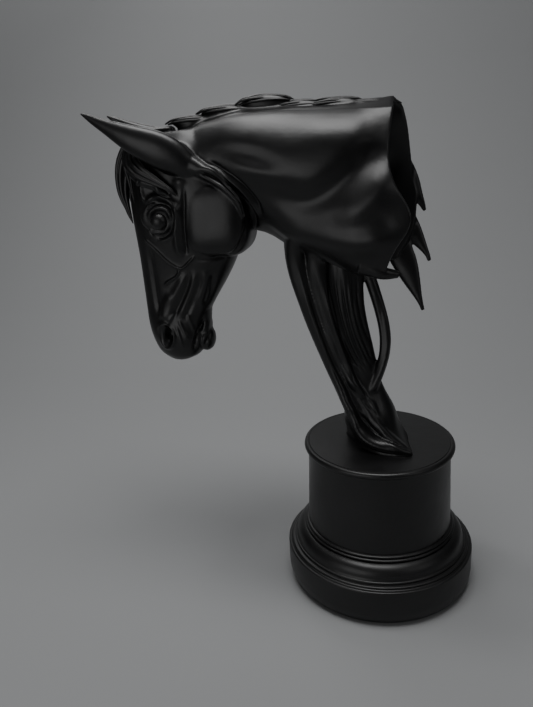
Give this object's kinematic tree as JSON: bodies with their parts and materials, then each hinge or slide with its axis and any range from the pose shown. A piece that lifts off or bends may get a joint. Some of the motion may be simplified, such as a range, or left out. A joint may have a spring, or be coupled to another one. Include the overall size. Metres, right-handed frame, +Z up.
{
  "type": "horse head sculpture",
  "caption": "Black satin sculpture of a bowed horse head with a hollow draped neck, cast with a fluted stem and standing on a round turned plinth.",
  "frame": {"origin": "centre of the plinth's flat underside, which rests on the table", "axes": "+Z up along the plinth's turned axis; the horse faces -X and its plane of symmetry is about y = 0; the horse's left side, seen in the picture, faces -Y"},
  "size_m": [0.428, 0.2304, 0.583],
  "materials": {
    "black_satin": "satin black painted cast resin",
    "black_matt": "matt black painted resin, lightly brushed round"
  },
  "bodies": {
    "root": {"horse_head": "black_satin", "plinth": "black_matt"}
  },
  "joints": []
}
